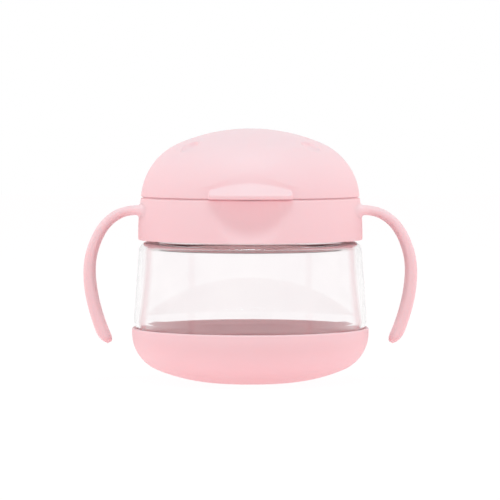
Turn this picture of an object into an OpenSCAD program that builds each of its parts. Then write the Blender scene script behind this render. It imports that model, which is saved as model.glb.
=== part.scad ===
/* [Overall] */
// Outside radius of the soft base at its rim
base_radius = 49.9; // [46:0.1:54]
// Height of the soft base's rim above the table
base_height = 22.8; // [20.8:0.1:27]
// Height of the collar's lower edge above the table
collar_bottom = 59.9; // [55:0.1:68]
// Height of the collar ring
collar_height = 17.5; // [16:0.1:22]
// Outside radius where the collar and the lid meet
seam_radius = 46.1; // [45.6:0.1:47]
// Outside radius of the collar at its lower edge
skirt_radius = 47.25; // [46.6:0.05:48.5]
// Open line between the collar and the lid
seam_gap = 0.8; // [0.5:0.1:1.2]
// Height of the lid's dome above the seam
dome_height = 28.4; // [26:0.1:31]

/* [Clear container] */
// Wall of the clear container
tub_wall = 2.0; // [1.6:0.1:2.2]
// Outside radius of the container just above the soft base
tub_low_radius = 49.1; // [48.7:0.1:49.5]
// Outside radius of the container just under its shoulder
tub_high_radius = 47.1; // [46.6:0.1:47.4]
// Rounding of the container's shoulder
shoulder_round = 4.2; // [3.5:0.1:4.6]
// Space between the container's shoulder and the collar
shoulder_gap = 0.7; // [0.5:0.1:1.2]
// Outside radius of the threaded neck
neck_radius = 40.8; // [40.4:0.1:41]

/* [Soft base] */
// Wall of the soft base
base_wall = 1.9; // [1.5:0.1:2.2]
// Thickness of the soft base under the container
base_floor = 2.2; // [1.8:0.1:2.8]
// Radius of the lower corner of the base
base_corner = 16.6; // [15.6:0.1:17.6]
// Radius of the bowl-shaped underside
base_bowl = 71.2; // [68:0.1:74]
// Distance of the underside's curve centre from the axis
base_bowl_offset = 12.3; // [11.6:0.01:12.4]
// Depth of the non-slip grooves
groove_depth = 0.6; // [0.4:0.1:1]

/* [Screw thread] */
// Rise of the thread in one turn
thread_lead = 15; // [12:0.5:18]
// Height of the ridges on the neck and in the collar
thread_height = 1.35; // [1.2:0.05:1.4]
// Free space in front of each ridge
thread_gap = 0.45; // [0.35:0.05:0.6]
// Turn that each ridge spans, in degrees
thread_span = 100; // [80:5:105]
// Distance of the collar's ridges below the neck's ridges
thread_offset = 1.7; // [1.6:0.1:2.4]

/* [Collar] */
// Thickness of the collar's deck
deck = 3.0; // [2.6:0.1:3.4]
// Inside radius of the deck, where the soft opening is seated
deck_radius = 38.0; // [37.6:0.1:38.4]
// Inside radius of the raised lip
lip_inner = 40.4; // [40.2:0.1:40.6]
// Outside radius of the raised lip
lip_outer = 42.9; // [42.7:0.1:43]
// Height of the raised lip above the deck
lip_height = 3.2; // [2.8:0.1:3.6]
// Depth of the thumb scoop below the tab
scoop_depth = 2.5; // [1.8:0.1:2.6]
// Sideways radius of the thumb scoop
scoop_wide = 140; // [100:5:180]
// Upright radius of the thumb scoop
scoop_tall = 33; // [26:1:40]
// Thickness of the gasket between neck and deck
gasket_thickness = 1.4; // [1.2:0.1:1.6]

/* [Handles] */
// Thickness of a handle at its root
handle_root = 4.1; // [3.6:0.1:5]
// Thickness of a handle at its lower half
handle_thick = 5.3; // [4.7:0.1:6]
// Depth of a handle from front to back
handle_depth = 12; // [10:0.5:15]
// How far the handles reach from the axis, on their centreline
handle_reach = 67.8; // [66:0.05:72]
// Height of a handle's tip above the table
handle_tip = 15.8; // [12:0.1:24]

/* [Soft opening] */
// Thickness of the soft flaps
flap_thickness = 1.4; // [1:0.1:1.6]
// Distance of the flaps' bending lines from the axis
flap_line = 29.4; // [28:0.1:29.8]
// Width of the slits between the flaps
slit = 0.5; // [0.4:0.05:0.8]
// Space between a flap's edge and the ring it hangs in
flap_gap = 0.24; // [0.16:0.02:0.4]

/* [Lid] */
// Wall of the lid
lid_wall = 2.2; // [1.8:0.1:2.4]
// Radius of the lid's haunch
haunch = 26.5; // [25.5:0.1:27.5]
// Distance of the haunch's curve centre below the seam
haunch_drop = 2.1; // [1.6:0.1:2.6]
// Half width of the thumb tab
tab_half = 17.3; // [15:0.1:19]
// How far the thumb tab stands out of the dome
tab_reach = 3.2; // [2.4:0.1:4]
// Height of the thumb tab
tab_height = 6.4; // [5:0.1:7]
// Radius of the thumb tab's front, seen from above
tab_curve = 35.5; // [30:0.5:45]
// Rounding of the thumb tab's ends
tab_corner = 2.5; // [1.5:0.1:3.5]
// Radius of the two round dimples on the dome
dimple_radius = 3.7; // [3:0.1:4.5]
// Depth of the dimples
dimple_depth = 0.9; // [0.6:0.1:1.1]
// Thickness of the lid's soft seal
seal_thickness = 2.0; // [1.8:0.1:2.4]

/* [Hinge] */
// Distance of the hinge axis behind the seam's outside
hinge_back = 3.5; // [3.4:0.05:3.8]
// Outside radius of the hinge knuckles
knuckle_radius = 2.9; // [2.7:0.1:3]
// Radius of the hinge pin
pin_radius = 1.0; // [0.9:0.05:1.2]
// Radial space of the pin in the lid's knuckle
pin_clearance = 0.05; // [0.02:0.01:0.1]
// Half length of the lid's knuckle
knuckle_half = 6.7; // [5:0.1:8]
// Side space between the lid's knuckle and the collar's ears
ear_gap = 0.3; // [0.2:0.05:0.5]
// Thickness of each ear
ear = 4.5; // [3.5:0.1:6]

/* [Hidden] */
fine = 96;
collar_top = collar_bottom + collar_height;
lid_bottom = collar_top + seam_gap;
lid_top = lid_bottom + dome_height;
deck_under = collar_top - deck;
neck_top = deck_under - gasket_thickness;
lip_top = collar_top + lip_height;
shoulder_top = collar_bottom - shoulder_gap;
collar_bore = neck_radius + thread_height + thread_gap;
// lid: crown radius that meets the haunch and the top
crown = (pow(seam_radius - haunch, 2) + pow(dome_height + haunch_drop, 2) - pow(haunch, 2)) / (2 * (dome_height + haunch_drop - haunch));
crown_z = lid_top - crown;
haunch_r = seam_radius - haunch;
haunch_z = lid_bottom - haunch_drop;
// base: the two arcs of the bowl touch at one tangent
corner_r = base_radius - base_corner;
corner_z = base_height - 2.24;
bowl_z = corner_z + sqrt(pow(base_bowl - base_corner, 2) - pow(corner_r - base_bowl_offset, 2));
tub_floor = base_floor + 2.2;
// hinge
hinge_y = seam_radius + hinge_back;
hinge_z = (collar_top + lid_bottom) / 2;
ear_in = knuckle_half + ear_gap;
ear_out = ear_in + ear;
shelf_top = hinge_z - knuckle_radius - 0.4;
// soft opening
web_bottom = collar_top + 0.1;
web_top = web_bottom + flap_thickness;
web_mid = (web_bottom + web_top) / 2;
throat = 35;
bead = min(deck_radius + 0.6, neck_radius - tub_wall - 0.2);

// colours
pink = [0.965, 0.800, 0.815];
soft_pink = [0.960, 0.775, 0.790];
clear = [0.93, 0.92, 0.92, 0.30];
silicone = [0.955, 0.915, 0.915];
steel = [0.72, 0.72, 0.73];

// the outside of the base, moved inwards by off, between two heights
module bowl2d(off, z0, z1) {
    dx = corner_r - base_bowl_offset;
    dz = corner_z - bowl_z;
    ux = dx / sqrt(dx * dx + dz * dz);
    uz = dz / sqrt(dx * dx + dz * dz);
    intersection() {
        union() {
            translate([corner_r, corner_z]) circle(r = base_corner - off, $fn = fine);
            intersection() {
                translate([base_bowl_offset, bowl_z]) circle(r = base_bowl - off, $fn = fine);
                polygon([[0, corner_z], [corner_r, corner_z], [corner_r + 20 * ux, corner_z + 20 * uz],
                    [corner_r + 20 * ux, -6], [0, -6]]);
            }
            translate([0, corner_z]) square([base_radius - off, 12]);
        }
        translate([0, z0]) square([base_radius + 5, z1 - z0]);
    }
}

// the outside of the dome, moved inwards by off and cut at its base, or lower by low
module dome2d(off, low = 0) {
    dx = haunch_r;
    dz = haunch_z - crown_z;
    n = sqrt(dx * dx + dz * dz);
    intersection() {
        union() {
            translate([haunch_r, haunch_z]) circle(r = haunch - off, $fn = fine);
            intersection() {
                translate([0, crown_z]) circle(r = crown - off, $fn = fine);
                polygon([[0, haunch_z - 1], [haunch_r, haunch_z - 1], [haunch_r, haunch_z],
                    [haunch_r + (haunch + 4) * dx / n, haunch_z + (haunch + 4) * dz / n],
                    [haunch_r + (haunch + 4) * dx / n, lid_top + 5], [0, lid_top + 5]]);
            }
        }
        translate([0, lid_bottom - low]) square([seam_radius + 5, dome_height + 5]);
    }
}

// one helical ridge: root radius, crest radius, half heights, first height and first angle
module ridge(root, crest, half_root, half_crest, z0, a0) {
    n = 20;
    pts = [for (i = [0:n])
        let (u = i / n, a = a0 + thread_span * u, z = z0 + thread_lead * thread_span * u / 360,
            f = min(1, min(u, 1 - u) * 8), c = root + (crest - root) * (0.35 + 0.65 * f),
            hr = half_root * (0.6 + 0.4 * f), hc = half_crest * (0.6 + 0.4 * f))
        for (p = [[root, -hr], [c, -hc], [c, hc], [root, hr]])
            [p[0] * cos(a), p[0] * sin(a), z + p[1]]];
    side = [for (i = [0:n - 1]) for (k = [0:3])
        let (p = 4 * i + k, q = 4 * i + (k + 1) % 4, r = p + 4, s = q + 4)
        for (t = [[p, r, q], [q, r, s]]) t];
    ends = [[0, 1, 2], [0, 2, 3], [4 * n, 4 * n + 2, 4 * n + 1], [4 * n, 4 * n + 3, 4 * n + 2]];
    all = concat(side, ends);
    polyhedron(points = pts, faces = crest < root ? all : [for (f = all) [f[0], f[2], f[1]]], convexity = 6);
}

module base_boot() {
    color(soft_pink) rotate_extrude($fn = fine) {
        rim = base_height - 0.65;
        difference() {
            union() {
                bowl2d(0, 0, rim);
                translate([base_radius - 0.65, rim]) circle(r = 0.65, $fn = 32);
            }
            bowl2d(base_wall, base_floor, corner_z + 1);
            polygon([[0, corner_z], [base_radius - base_wall, corner_z],
                [base_radius - 1.3, rim], [base_radius - 1.3, base_height + 1], [0, base_height + 1]]);
            for (r = [5.5, 9.5, 13.5]) translate([r, -1]) square([1.6, 1 + groove_depth]);
        }
    }
}

module tub_outside() {
    bowl2d(base_wall, base_floor, corner_z + 1);
    polygon([[0, corner_z], [base_radius - base_wall, corner_z], [tub_low_radius, base_height + 3.2],
        [tub_high_radius, shoulder_top - shoulder_round], [0, shoulder_top - shoulder_round]]);
    translate([tub_high_radius - shoulder_round, shoulder_top - shoulder_round]) circle(r = shoulder_round, $fn = 64);
    translate([0, shoulder_top - shoulder_round - 0.01]) square([tub_high_radius - shoulder_round, shoulder_round + 0.01]);
    translate([0, shoulder_top - 1]) square([neck_radius, neck_top - shoulder_top + 1]);
}

module tub_inside() {
    inner = shoulder_round - tub_wall;
    bowl2d(base_wall + tub_wall, tub_floor, corner_z + 1);
    polygon([[0, corner_z], [base_radius - base_wall - tub_wall, corner_z],
        [tub_low_radius - tub_wall, base_height + 3.2],
        [tub_high_radius - tub_wall, shoulder_top - shoulder_round], [0, shoulder_top - shoulder_round]]);
    translate([tub_high_radius - shoulder_round, shoulder_top - shoulder_round]) circle(r = inner, $fn = 48);
    translate([0, shoulder_top - shoulder_round - 0.01]) square([tub_high_radius - shoulder_round, inner + 0.01]);
    translate([0, shoulder_top - tub_wall - 1]) square([neck_radius - tub_wall, neck_top]);
}

module container() {
    low = collar_bottom + 5.3;
    color(clear) union() {
        rotate_extrude($fn = fine) difference() {
            tub_outside();
            tub_inside();
        }
        for (k = [0:2]) ridge(neck_radius - 0.4, neck_radius + thread_height, 0.85, 0.4, low, 120 * k + 10);
    }
}

module container_gasket() {
    color(silicone) rotate_extrude($fn = fine)
        translate([neck_radius - tub_wall + 0.3, neck_top]) square([tub_wall + 1.0, gasket_thickness]);
}

// the collar's outside is a slight barrel, drawn as one arc
module collar_outside() {
    rise = collar_height - 2.1;
    barrel = (rise * rise + pow(skirt_radius - seam_radius, 2)) / (2 * (skirt_radius - seam_radius));
    top_edge = 0.6;
    top_r = skirt_radius - barrel + sqrt(barrel * barrel - pow(rise - top_edge, 2)) - 0.02;
    intersection() {
        translate([skirt_radius - barrel, collar_bottom + 2.1]) circle(r = barrel, $fn = fine);
        polygon([[0, collar_bottom], [skirt_radius - 0.45, collar_bottom], [skirt_radius + 1, collar_bottom + 1.45],
            [skirt_radius + 1, collar_top - top_edge], [0, collar_top - top_edge]]);
    }
    translate([top_r - top_edge, collar_top - top_edge]) circle(r = top_edge, $fn = 32);
    translate([0, collar_top - top_edge - 0.01]) square([top_r - top_edge, top_edge + 0.01]);
}

// a barrel-shaped cutter that leaves a soft thumb scoop under the tab
module scoop_cutter() {
    translate([0, -(seam_radius - scoop_depth + scoop_wide), collar_top - 3.4])
        rotate_extrude($fn = 180) intersection() {
            translate([scoop_wide - scoop_tall, 0]) circle(r = scoop_tall, $fn = 120);
            translate([0, -17]) square([scoop_wide + 5, 17 + 3.4 + seam_gap / 2]);
        }
}

// centreline of a handle: two cubic curves that run on into each other
function bez(a, b, c, d, t) = pow(1 - t, 3) * a + 3 * pow(1 - t, 2) * t * b + 3 * (1 - t) * t * t * c + t * t * t * d;
handle_high = deck_under - 2.6;
handle_out = handle_reach - 67.95;
p0 = [collar_bore + 1.6, handle_high];
p1 = [55.33, handle_high + 1.2];
p2 = [62.95 + handle_out, handle_high - 3.59];
p3 = [66.79 + handle_out, handle_high - 16.72];
p4 = p3 + 0.79 * (p3 - p2);
p6 = [60.3 + handle_out, handle_tip + 0.3];
p5 = [66.66 + handle_out, handle_tip + 14];
function handle_at(s) = s < 0.5 ? bez(p0, p1, p2, p3, 2 * s) : bez(p3, p4, p5, p6, 2 * s - 1);
function handle_dir(s) = let (d = handle_at(min(1, s + 0.004)) - handle_at(max(0, s - 0.004))) d / norm(d);
function tip_round(s) = let (d = norm(p6 - handle_at(s))) d > 3 ? 1 : sqrt(max(0.012, 1 - pow(1 - d / 3, 2)));
function root_flare(x, from, len) = exp(-pow(max(0, x - from) / len, 1.3));

module handle() {
    n = 20;
    stops = [0, 0.02, 0.045, 0.07, 0.10, 0.14, 0.19, 0.25, 0.32, 0.39, 0.46, 0.53, 0.60, 0.67, 0.74, 0.81,
        0.87, 0.91, 0.94, 0.962, 0.98, 0.992, 1];
    m = len(stops) - 1;
    pts = [for (s = stops)
        let (c = handle_at(s), d = handle_dir(s), k = tip_round(s),
            t = (handle_root + (handle_thick - handle_root) * min(1, s * 1.5) + 3.2 * root_flare(c[0], 45.6, 1.5)) * k,
            w = (handle_depth + 18 * root_flare(c[0], 45.2, 3.0)) * (0.25 + 0.75 * k),
            g = root_flare(c[0], 45, 3.5))
        for (i = [0:n - 1])
            let (a = 360 * i / n, e = 0.85,
                y = w / 2 * sign(cos(a)) * pow(abs(cos(a)), e), h = t / 2 * sign(sin(a)) * pow(abs(sin(a)), e),
                x = c[0] - d[1] * h, z = c[1] + d[0] * h)
            [x + g * (sqrt(max(1, x * x - y * y)) - x), y, z]];
    side = [for (j = [0:m - 1]) for (i = [0:n - 1])
        let (p = n * j + i, q = n * j + (i + 1) % n, r = p + n, s = q + n)
        for (f = [[p, r, q], [q, r, s]]) f];
    mid = (m + 1) * n;
    ends = concat([for (i = [0:n - 1]) [mid, i, (i + 1) % n]], [for (i = [1:n - 2]) [m * n, m * n + i + 1, m * n + i]]);
    polyhedron(points = concat(pts, [[p0[0], 0, p0[1]]]), faces = concat(side, ends), convexity = 6);
}

module hinge_cylinder(r, x0, x1) {
    translate([x0, hinge_y, hinge_z]) rotate([0, 90, 0]) cylinder(r = r, h = x1 - x0, $fn = 48);
}

module collar() {
    low = collar_bottom + 5.3 - thread_offset;
    lip_round = (lip_outer - lip_inner) / 2;
    color(pink) difference() {
        union() {
            difference() {
                rotate_extrude($fn = fine) {
                    difference() {
                        collar_outside();
                        translate([0, collar_bottom - 1]) square([collar_bore, deck_under - collar_bottom + 1]);
                        translate([0, deck_under - 1]) square([deck_radius, deck + 2]);
                    }
                    translate([lip_inner, collar_top - 0.01]) square([2 * lip_round, lip_height - lip_round + 0.01]);
                    translate([lip_inner + lip_round, lip_top - lip_round]) circle(r = lip_round, $fn = 32);
                }
                scoop_cutter();
            }
            for (k = [0:2]) ridge(collar_bore + 0.4, collar_bore - thread_height, 0.85, 0.4, low, 120 * k + 10);
            for (s = [0, 1]) mirror([s, 0, 0]) {
                handle();
                hinge_cylinder(knuckle_radius, ear_in, ear_out);
                translate([ear_in, hinge_y - knuckle_radius, shelf_top - 2]) cube([ear, 2 * knuckle_radius, hinge_z - shelf_top + 2]);
                translate([ear_in, seam_radius - 2.4, shelf_top - 2]) cube([ear, hinge_back + 2.4, collar_top - shelf_top + 1.6]);
            }
            translate([-ear_out, seam_radius - 2.2, shelf_top - 2.6]) cube([2 * ear_out, hinge_back + knuckle_radius + 2.2, 2.6]);
        }
        hinge_cylinder(pin_radius, -ear_out - 1, ear_out + 1);
    }
}

module sector(line, off) {
    big = line / cos(30) * 1.3;
    polygon([[off / sin(30), 0], [off / sin(30) + big * cos(30), big * sin(30)], [off / sin(30) + big * cos(30), -big * sin(30)]]);
}

module flap_ring() {
    apex = flap_line + flap_gap / 2;
    h = flap_thickness / 2 + 0.1;
    color(silicone) difference() {
        rotate([0, 0, 15]) rotate_extrude($fn = fine) {
            translate([0, web_bottom]) square([throat + 0.5, flap_thickness]);
            translate([throat, collar_top]) square([lip_inner - throat, flap_thickness + 0.4]);
            translate([throat, deck_under]) square([deck_radius - throat, deck + 0.1]);
            translate([throat, neck_top]) polygon([[0, 0], [bead - throat - 0.6, 0], [bead - throat, 0.6], [bead - throat, deck_under - neck_top], [0, deck_under - neck_top]]);
        }
        translate([0, 0, web_mid]) cylinder(r1 = apex / cos(30), r2 = (apex + h) / cos(30), h = h, $fn = 6);
        translate([0, 0, web_mid - h]) cylinder(r1 = (apex + h) / cos(30), r2 = apex / cos(30), h = h, $fn = 6);
        for (k = [0:5]) rotate([0, 0, 60 * k]) translate([apex / cos(30), 0, web_mid - 2]) cylinder(r = 0.9, h = 4, $fn = 24);
    }
}

module flap(k) {
    apex = flap_line - flap_gap / 2;
    h = flap_thickness / 2;
    color(silicone) rotate([0, 0, 60 * k - 90]) difference() {
        intersection() {
            rotate([90, 0, 0]) linear_extrude(height = 60, center = true)
                polygon([[0, web_mid - h], [apex - h, web_mid - h], [apex, web_mid], [apex - h, web_mid + h], [0, web_mid + h]]);
            translate([0, 0, web_mid - 2]) linear_extrude(height = 4) sector(apex, slit / 2);
        }
        translate([0, 0, web_mid - 2]) cylinder(r = 1.2, h = 4, $fn = 24);
        for (a = [-30, 30]) rotate([0, 0, a]) translate([flap_line / cos(30), 0, web_mid - 2]) cylinder(r = 1.1, h = 4, $fn = 24);
    }
}

module flap_1() { flap(0); }
module flap_2() { flap(1); }
module flap_3() { flap(2); }
module flap_4() { flap(3); }
module flap_5() { flap(4); }
module flap_6() { flap(5); }

// a low cone standing off-centre, with its sides cut off: a bill with a curved upper line
module tab_solid() {
    front = seam_radius + tab_reach;
    end_y = front - tab_curve + sqrt(pow(tab_curve, 2) - pow(tab_half, 2));
    lean = tab_reach + 1.5;
    intersection() {
        translate([0, tab_curve - front, 0]) rotate_extrude($fn = fine)
            polygon([[0, lid_bottom], [tab_curve - 0.4, lid_bottom], [tab_curve, lid_bottom + 0.4], [tab_curve, lid_bottom + 1.1],
                [tab_curve - 0.25, lid_bottom + 1.55], [tab_curve - lean, lid_bottom + tab_height], [0, lid_bottom + tab_height]]);
        translate([0, 0, lid_bottom - 1]) linear_extrude(height = tab_height + 2) {
            translate([tab_corner - tab_half, -front - 1]) square([2 * (tab_half - tab_corner), front]);
            translate([-tab_half, tab_corner - end_y]) square([2 * tab_half, end_y - tab_corner - 2]);
            for (s = [-1, 1]) translate([s * (tab_half - tab_corner), tab_corner - end_y]) circle(r = tab_corner, $fn = 32);
        }
    }
}

module dimple_cutter() {
    ball = (dimple_radius * dimple_radius + dimple_depth * dimple_depth) / (2 * dimple_depth);
    // a point on the haunch, by its angle from the upright
    tilt = 25.5;
    turn = 39.2;
    r = haunch_r + haunch * sin(tilt);
    out = ball - dimple_depth;
    for (s = [-1, 1])
        rotate([0, 0, s * (90 - turn)])
            translate([0, -(r + out * sin(tilt)), haunch_z + (haunch + out) * cos(tilt)]) sphere(r = ball, $fn = 64);
}

module lid() {
    ledge_z = lip_top + seal_thickness;
    edge = 0.6;
    edge_r = haunch_r + sqrt(pow(haunch, 2) - pow(haunch_drop + edge, 2)) - edge + 0.01;
    color(pink) difference() {
        union() {
            rotate_extrude($fn = fine) {
                difference() {
                    dome2d(0);
                    translate([edge_r, lid_bottom - 1]) square([edge + 1, 1 + edge]);
                }
                translate([edge_r, lid_bottom + edge]) circle(r = edge, $fn = 32);
            }
            tab_solid();
            hinge_cylinder(knuckle_radius, -knuckle_half, knuckle_half);
            translate([-knuckle_half, seam_radius - 3, lid_bottom]) cube([2 * knuckle_half, hinge_back + 3, hinge_z + knuckle_radius - lid_bottom]);
        }
        rotate_extrude($fn = fine) difference() {
            dome2d(lid_wall, 1);
            translate([lip_inner - 1.4, ledge_z - 1.2]) square([1.0, 1.3]);
            translate([lip_inner - 1.4, ledge_z]) square([8, 1.6]);
        }
        hinge_cylinder(pin_radius + pin_clearance, -knuckle_half - 1, knuckle_half + 1);
        dimple_cutter();
    }
}

module lid_seal() {
    color(silicone) rotate_extrude($fn = fine)
        translate([lip_inner - 0.4, lip_top]) square([lip_outer - lip_inner + 0.2, seal_thickness]);
}

module hinge_pin() {
    color(steel) hinge_cylinder(pin_radius, -ear_out + 0.2, ear_out - 0.2);
}

base_boot();
container();
container_gasket();
collar();
flap_ring();
flap_1();
flap_2();
flap_3();
flap_4();
flap_5();
flap_6();
lid();
lid_seal();
hinge_pin();
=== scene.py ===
import math

import bmesh
import bpy
from mathutils import Matrix, Vector


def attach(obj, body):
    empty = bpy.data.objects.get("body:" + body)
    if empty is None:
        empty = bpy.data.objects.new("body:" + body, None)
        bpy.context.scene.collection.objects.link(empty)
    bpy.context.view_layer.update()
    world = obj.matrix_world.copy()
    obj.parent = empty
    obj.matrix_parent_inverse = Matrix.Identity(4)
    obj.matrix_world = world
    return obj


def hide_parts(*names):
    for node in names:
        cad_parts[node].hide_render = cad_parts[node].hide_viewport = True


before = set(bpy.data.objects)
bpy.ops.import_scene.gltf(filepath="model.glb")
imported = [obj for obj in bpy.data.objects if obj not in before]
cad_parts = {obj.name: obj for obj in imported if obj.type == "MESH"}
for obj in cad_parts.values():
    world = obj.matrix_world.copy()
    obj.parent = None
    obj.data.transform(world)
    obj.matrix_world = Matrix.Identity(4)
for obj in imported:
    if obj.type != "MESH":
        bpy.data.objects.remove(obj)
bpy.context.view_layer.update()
mm = 0.001
print("packed model loaded:", ", ".join(sorted(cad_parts)))


# shapes are drawn in millimetres and turned to metres when a mesh is made

def softMax(a, b, blend):
    overlap = max(blend - abs(a - b), 0) / blend
    return max(a, b) + overlap * overlap * blend / 4


def softMin(a, b, blend):
    return -softMax(-a, -b, blend)


def ease(t):
    t = min(1, max(0, t))
    return t * t * (3 - 2 * t)


# 0 degrees points away from the axis, 90 degrees points up
def arc(centre, radius, fromDeg, toDeg, step):
    count = max(2, math.ceil(abs(math.radians(toDeg - fromDeg)) * radius / step))
    turns = [math.radians(fromDeg + (toDeg - fromDeg) * i / count) for i in range(count + 1)]
    return [(centre[0] + radius * math.cos(t), centre[1] + radius * math.sin(t)) for t in turns]


def straight(start, end, step):
    count = max(1, math.ceil(math.dist(start, end) / step))
    return [(start[0] + (end[0] - start[0]) * i / count, start[1] + (end[1] - start[1]) * i / count)
            for i in range(count + 1)]


# corners come as (across, up, fillet); a corner without a fillet is only passed through
def rounded(corners, closed=True, steps=5):
    guard = 0.15  # a point this share of the cut beyond a fillet keeps the flat part flat
    mostOfSide = 0.49  # a fillet takes up no more of a side than this
    points = []
    for i, corner in enumerate(corners):
        here = Vector(corner[:2])
        fillet = corner[2] if len(corner) > 2 else 0
        if fillet == 0 or (not closed and i in (0, len(corners) - 1)):
            points.append(tuple(here))
            continue
        before = Vector(corners[i - 1][:2]) - here
        after = Vector(corners[(i + 1) % len(corners)][:2]) - here
        half = before.angle(after) / 2
        cut = min(fillet / math.tan(half), mostOfSide * before.length, mostOfSide * after.length)
        radius = cut * math.tan(half)
        outwards = (before.normalized() + after.normalized()).normalized()
        middle = here + outwards * radius / math.sin(half)
        first = here + before.normalized() * cut - middle
        turn = first.angle_signed(here + after.normalized() * cut - middle)
        roomy = 2.4 * cut  # a side this long has room for a guard point
        if before.length > roomy:
            points.append(tuple(middle + first + before.normalized() * cut * guard))
        for k in range(steps + 1):
            points.append(tuple(middle + Matrix.Rotation(-turn * k / steps, 2) @ first))
        if after.length > roomy:
            points.append(tuple(here + after.normalized() * cut * (1 + guard)))
    return points


# directions round the axis, closer together inside the zones (middle, half width, step)
def columns(step, zones=()):
    angles, angle = [], -180.0
    while angle < 180 - 1e-6:
        angles.append(angle)
        angle += min([step] + [z[2] for z in zones if abs(angle - z[0]) <= z[1]])
    return angles


# turns a profile of (radius, height) points round the axis; shape may move a point by its direction
def turned(mesh, profile, angles, closed=True, shape=None):
    sameSpot = 2e-7  # points this close, in metres, become one
    rings = []
    for angle in angles:
        ring = []
        for r, z in profile:
            if shape:
                r, z = shape(angle, r, z)
            ring.append(mesh.verts.new((r * math.cos(math.radians(angle)) * mm,
                                        r * math.sin(math.radians(angle)) * mm, z * mm)))
        rings.append(ring)
    last = len(profile) if closed else len(profile) - 1
    for i, ring in enumerate(rings):
        following = rings[(i + 1) % len(rings)]
        for k in range(last):
            n = (k + 1) % len(profile)
            mesh.faces.new((ring[k], following[k], following[n], ring[n]))
    bmesh.ops.remove_doubles(mesh, verts=[v for ring in rings for v in ring], dist=sameSpot)


# a plate with softened edges from a closed outline, with round holes (across, up, radius)
def plate(mesh, outline, low, high, edge, holes=(), place=Matrix.Identity(4), steps=3):
    holePoints = 40
    sharpFrom = math.radians(40)
    part = bmesh.new()
    loops = [outline] + [[(h[0] + h[2] * math.cos(t), h[1] + h[2] * math.sin(t))
                          for t in (2 * math.pi * k / holePoints for k in range(holePoints))] for h in holes]
    edges = []
    for loop in loops:
        verts = [part.verts.new((x * mm, y * mm, low * mm)) for x, y in loop]
        edges += [part.edges.new((verts[k], verts[(k + 1) % len(verts)])) for k in range(len(verts))]
    bmesh.ops.triangle_fill(part, use_beauty=True, use_dissolve=False, edges=edges)
    bottom = part.faces[:]
    lifted = bmesh.ops.extrude_face_region(part, geom=bottom, use_keep_orig=True)
    top = [v for v in lifted["geom"] if isinstance(v, bmesh.types.BMVert)]
    bmesh.ops.translate(part, verts=top, vec=(0, 0, (high - low) * mm))
    bmesh.ops.recalc_face_normals(part, faces=part.faces[:])
    part.normal_update()
    sharp = [e for e in part.edges if e.is_manifold and e.calc_face_angle() > sharpFrom]
    bmesh.ops.bevel(part, geom=sharp, offset=edge * mm, segments=steps, profile=0.5, affect="EDGES",
                    clamp_overlap=True)
    bmesh.ops.transform(part, matrix=place, verts=part.verts[:])
    joined = bpy.data.meshes.new("joined")
    part.to_mesh(joined)
    part.free()
    mesh.from_mesh(joined)
    bpy.data.meshes.remove(joined)


# joins two loops of as many vertices with a band of faces
def bridge(mesh, loop, following):
    for k in range(len(loop)):
        n = (k + 1) % len(loop)
        mesh.faces.new((loop[k], following[k], following[n], loop[n]))


# turns a bmesh into a piece that stands for CAD nodes, rides on a body and has its finish
def addPiece(name, mesh, material, body, nodes):
    bmesh.ops.recalc_face_normals(mesh, faces=mesh.faces[:])
    data = bpy.data.meshes.new(name)
    mesh.to_mesh(data)
    mesh.free()
    data.shade_smooth()
    piece = bpy.data.objects.new(name, data)
    bpy.context.scene.collection.objects.link(piece)
    data.materials.append(material)
    evenNormals = piece.modifiers.new("evenNormals", "WEIGHTED_NORMAL")  # keeps flats flat beside fillets
    evenNormals.weight = 60
    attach(piece, body)
    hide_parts(*nodes)
    print("made", name, "with", len(data.polygons), "faces")


# sRGB hex to the linear colour that a shader takes
def linear(hexColor):
    parts = [int(hexColor[i:i + 2], 16) / 255 for i in (1, 3, 5)]
    return tuple(c / 12.92 if c <= 0.04045 else ((c + 0.055) / 1.055) ** 2.4 for c in parts) + (1.0,)


# adds a node; a socket given as a value is linked, anything else is set
def addNode(tree, kind, options=None, sockets=None):
    node = tree.nodes.new(kind)
    for name, value in (options or {}).items():
        setattr(node, name, value)
    for name, value in (sockets or {}).items():
        if isinstance(value, bpy.types.NodeSocket):
            tree.links.new(value, node.inputs[name])
        else:
            node.inputs[name].default_value = value
    return node


def newMaterial(name):
    material = bpy.data.materials.new(name)
    material.use_nodes = True
    material.node_tree.nodes.clear()
    return material, material.node_tree


# A matt moulding: slow patches of two near colours, a fine grain that drives roughness and bump,
# and a thin skin that lets a little light through.
def matMoulding(name, look):
    material, tree = newMaterial(name)
    place = addNode(tree, "ShaderNodeTexCoord").outputs["Object"]
    patches = addNode(tree, "ShaderNodeTexNoise", sockets={
        "Vector": place, "Scale": 1 / (look["patchMm"] * mm), "Detail": 2.0, "Roughness": 0.5})
    tint = addNode(tree, "ShaderNodeMix", {"data_type": "RGBA"}, {
        0: patches.outputs["Fac"], 6: linear(look["pale"]), 7: linear(look["deep"])})
    grain = addNode(tree, "ShaderNodeTexNoise", sockets={
        "Vector": place, "Scale": 1 / (look["grainMm"] * mm), "Detail": look["grainDetail"],
        "Roughness": look["grainBite"]})
    rough = addNode(tree, "ShaderNodeMapRange", sockets={
        "Value": grain.outputs["Fac"], "From Min": 0.3, "From Max": 0.7,
        "To Min": look["roughLow"], "To Max": look["roughHigh"]})
    bump = addNode(tree, "ShaderNodeBump", sockets={
        "Height": grain.outputs["Fac"], "Strength": look["bump"], "Distance": look["grainDepthMm"] * mm})
    shader = addNode(tree, "ShaderNodeBsdfPrincipled", sockets={
        "Base Color": tint.outputs[2], "Roughness": rough.outputs["Result"], "Normal": bump.outputs["Normal"],
        "IOR": look["ior"], "Subsurface Weight": look["skin"], "Subsurface Radius": look["skinTint"],
        "Subsurface Scale": look["skinMm"] * mm, "Sheen Weight": look["sheen"]})
    addNode(tree, "ShaderNodeOutputMaterial", sockets={"Surface": shader.outputs["BSDF"]})
    return material


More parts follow.
